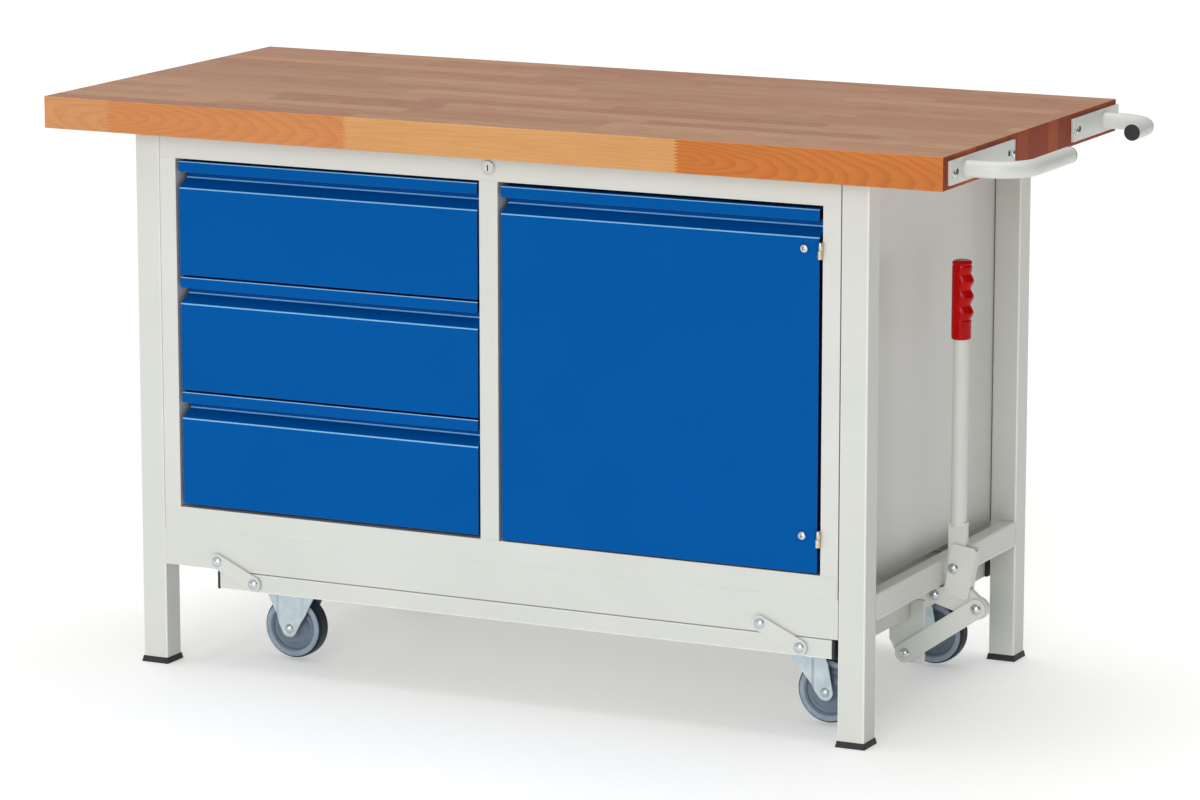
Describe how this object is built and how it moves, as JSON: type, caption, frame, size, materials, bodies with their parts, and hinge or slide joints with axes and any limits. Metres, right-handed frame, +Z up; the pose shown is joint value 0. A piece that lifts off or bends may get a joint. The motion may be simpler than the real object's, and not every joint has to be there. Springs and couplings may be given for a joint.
{
  "type": "mobile workbench with drawers",
  "caption": "Mobile workbench with a beech top, blue steel drawers and cupboard, push handles, and a side lever that lowers castors on parallel links.",
  "frame": {"origin": "centre of the whole outline, handles included, on the floor that the feet stand on", "axes": "+X along the worktop towards the push handles, +Y from the front to the back, +Z up"},
  "size_m": [1.602, 0.7, 0.895],
  "materials": {
    "beech": "clear-oiled glued beech staves",
    "grey_frame": "light grey powder coat, fine texture",
    "grey_panel": "light grey powder coat on sheet",
    "blue_front": "gentian blue powder coat",
    "black_plastic": "black moulded plastic",
    "red_grip": "glossy red vinyl grip",
    "zinc": "bright zinc plated pressed steel",
    "bright_bolt": "bright plated bolts",
    "lock_nickel": "nickel plated lock",
    "hinge_brass": "yellow passivated steel",
    "castor_wheel": "grey-black elastic tread on a grey plastic centre"
  },
  "bodies": {
    "root": {"worktop": "beech", "leg_front_left": "grey_frame", "leg_front_right": "grey_frame", "leg_rear_left": "grey_frame", "leg_rear_right": "grey_frame", "feet": "black_plastic", "apron_front": "grey_frame", "apron_rear": "grey_frame", "side_rails": "grey_frame", "side_panel_left": "grey_panel", "side_panel_right": "grey_panel", "base_panel": "grey_frame", "top_rail_front": "grey_frame", "top_rail_rear": "grey_frame", "divider": "grey_frame", "back_panel": "grey_panel", "shelf": "grey_frame", "cabinet_runners": "zinc", "lock_housing": "lock_nickel", "hinge_leaves": "hinge_brass", "push_handle_front": "grey_frame", "push_handle_rear": "grey_frame", "handle_end_plugs": "black_plastic", "lever_lug": "grey_frame", "frame_pivot_bolts": "bright_bolt"},
    "chassis": {"chassis_rail_front": "grey_frame", "chassis_rail_rear": "grey_frame", "chassis_crossbars": "grey_frame", "lever_bracket": "grey_frame", "rail_end_plugs": "black_plastic", "fixed_castor_housings": "zinc", "swivel_castor_plates": "zinc", "chassis_pivot_bolts": "bright_bolt", "fixed_castor_axles": "bright_bolt"},
    "link_front_left": {"link_front_left": "grey_frame"},
    "link_front_right": {"link_front_right": "grey_frame"},
    "link_rear_left": {"link_rear_left": "grey_frame"},
    "link_rear_right": {"link_rear_right": "grey_frame"},
    "castor_fork_front": {"castor_fork_front": "zinc"},
    "castor_fork_rear": {"castor_fork_rear": "zinc"},
    "wheel_front_left": {"wheel_front_left": "castor_wheel"},
    "wheel_front_right": {"wheel_front_right": "castor_wheel"},
    "wheel_rear_left": {"wheel_rear_left": "castor_wheel"},
    "wheel_rear_right": {"wheel_rear_right": "castor_wheel"},
    "lever": {"crank": "grey_frame", "lever_socket": "grey_frame", "lever_tube": "grey_frame", "lever_grip": "red_grip", "lever_bolts": "bright_bolt"},
    "push_link": {"push_link": "grey_frame", "push_link_bolt": "bright_bolt"},
    "drawer_top": {"drawer_front_top": "blue_front", "drawer_box_top": "grey_panel"},
    "drawer_middle": {"drawer_front_middle": "blue_front", "drawer_box_middle": "grey_panel"},
    "drawer_bottom": {"drawer_front_bottom": "blue_front", "drawer_box_bottom": "grey_panel"},
    "door": {"door_panel": "blue_front", "door_liner": "blue_front"},
    "lock": {"lock_core": "lock_nickel"}
  },
  "joints": [
    {"name": "chassis_swing", "type": "hinge", "parent": "root", "child": "link_front_left", "pos_m": [-0.529, -0.30475, 0.175], "axis": [0, 1, 0], "range_deg": [0, 72]},
    {"name": "chassis_hang", "type": "hinge", "parent": "link_front_left", "child": "chassis", "pos_m": [-0.46455, -0.30475, 0.14522], "axis": [0, 1, 0], "range_deg": [-72, 0]},
    {"name": "link_front_right_swing", "type": "hinge", "parent": "root", "child": "link_front_right", "pos_m": [0.398, -0.30475, 0.175], "axis": [0, 1, 0], "range_deg": [0, 72]},
    {"name": "link_rear_left_swing", "type": "hinge", "parent": "root", "child": "link_rear_left", "pos_m": [-0.529, 0.34275, 0.175], "axis": [0, 1, 0], "range_deg": [0, 72]},
    {"name": "link_rear_right_swing", "type": "hinge", "parent": "root", "child": "link_rear_right", "pos_m": [0.398, 0.34275, 0.175], "axis": [0, 1, 0], "range_deg": [0, 72]},
    {"name": "lever_swing", "type": "hinge", "parent": "root", "child": "lever", "pos_m": [0.553, 0, 0.1715], "axis": [0, 1, 0], "range_deg": [0, 73]},
    {"name": "push_link_pivot", "type": "hinge", "parent": "lever", "child": "push_link", "pos_m": [0.623, -0.0088, 0.1565], "axis": [0, 1, 0], "range_deg": [-66, 0]},
    {"name": "castor_swivel_front", "type": "hinge", "parent": "chassis", "child": "castor_fork_front", "pos_m": [0.431, -0.185, 0.11], "axis": [0, 0, 1], "continuous": true},
    {"name": "wheel_spin_front_left", "type": "hinge", "parent": "chassis", "child": "wheel_front_left", "pos_m": [-0.456, -0.185, 0.055], "axis": [0, 1, 0], "continuous": true},
    {"name": "wheel_spin_front_right", "type": "hinge", "parent": "castor_fork_front", "child": "wheel_front_right", "pos_m": [0.463, -0.185, 0.055], "axis": [0, 1, 0], "continuous": true},
    {"name": "castor_swivel_rear", "type": "hinge", "parent": "chassis", "child": "castor_fork_rear", "pos_m": [0.431, 0.223, 0.11], "axis": [0, 0, 1], "continuous": true},
    {"name": "wheel_spin_rear_left", "type": "hinge", "parent": "chassis", "child": "wheel_rear_left", "pos_m": [-0.456, 0.223, 0.055], "axis": [0, 1, 0], "continuous": true},
    {"name": "wheel_spin_rear_right", "type": "hinge", "parent": "castor_fork_rear", "child": "wheel_rear_right", "pos_m": [0.463, 0.223, 0.055], "axis": [0, 1, 0], "continuous": true},
    {"name": "drawer_slide_top", "type": "slide", "parent": "root", "child": "drawer_top", "axis": [0, -1, 0], "range_m": [0, 0.45]},
    {"name": "drawer_slide_middle", "type": "slide", "parent": "root", "child": "drawer_middle", "axis": [0, -1, 0], "range_m": [0, 0.45]},
    {"name": "drawer_slide_bottom", "type": "slide", "parent": "root", "child": "drawer_bottom", "axis": [0, -1, 0], "range_m": [0, 0.45]},
    {"name": "door_swing", "type": "hinge", "parent": "root", "child": "door", "pos_m": [0.49075, -0.3058, 0.525], "axis": [0, 0, 1], "range_deg": [0, 120]},
    {"name": "lock_turn", "type": "hinge", "parent": "root", "child": "lock", "pos_m": [-0.0525, -0.302, 0.825], "axis": [0, 1, 0], "range_deg": [0, 90]}
  ],
  "couplings": [
    {"joint": "chassis_hang", "follows": "chassis_swing", "ratio": -1},
    {"joint": "link_front_right_swing", "follows": "chassis_swing", "ratio": 1},
    {"joint": "link_rear_left_swing", "follows": "chassis_swing", "ratio": 1},
    {"joint": "link_rear_right_swing", "follows": "chassis_swing", "ratio": 1},
    {"joint": "lever_swing", "follows": "chassis_swing", "ratio": 1.0094},
    {"joint": "push_link_pivot", "follows": "chassis_swing", "ratio": -0.90694}
  ]
}
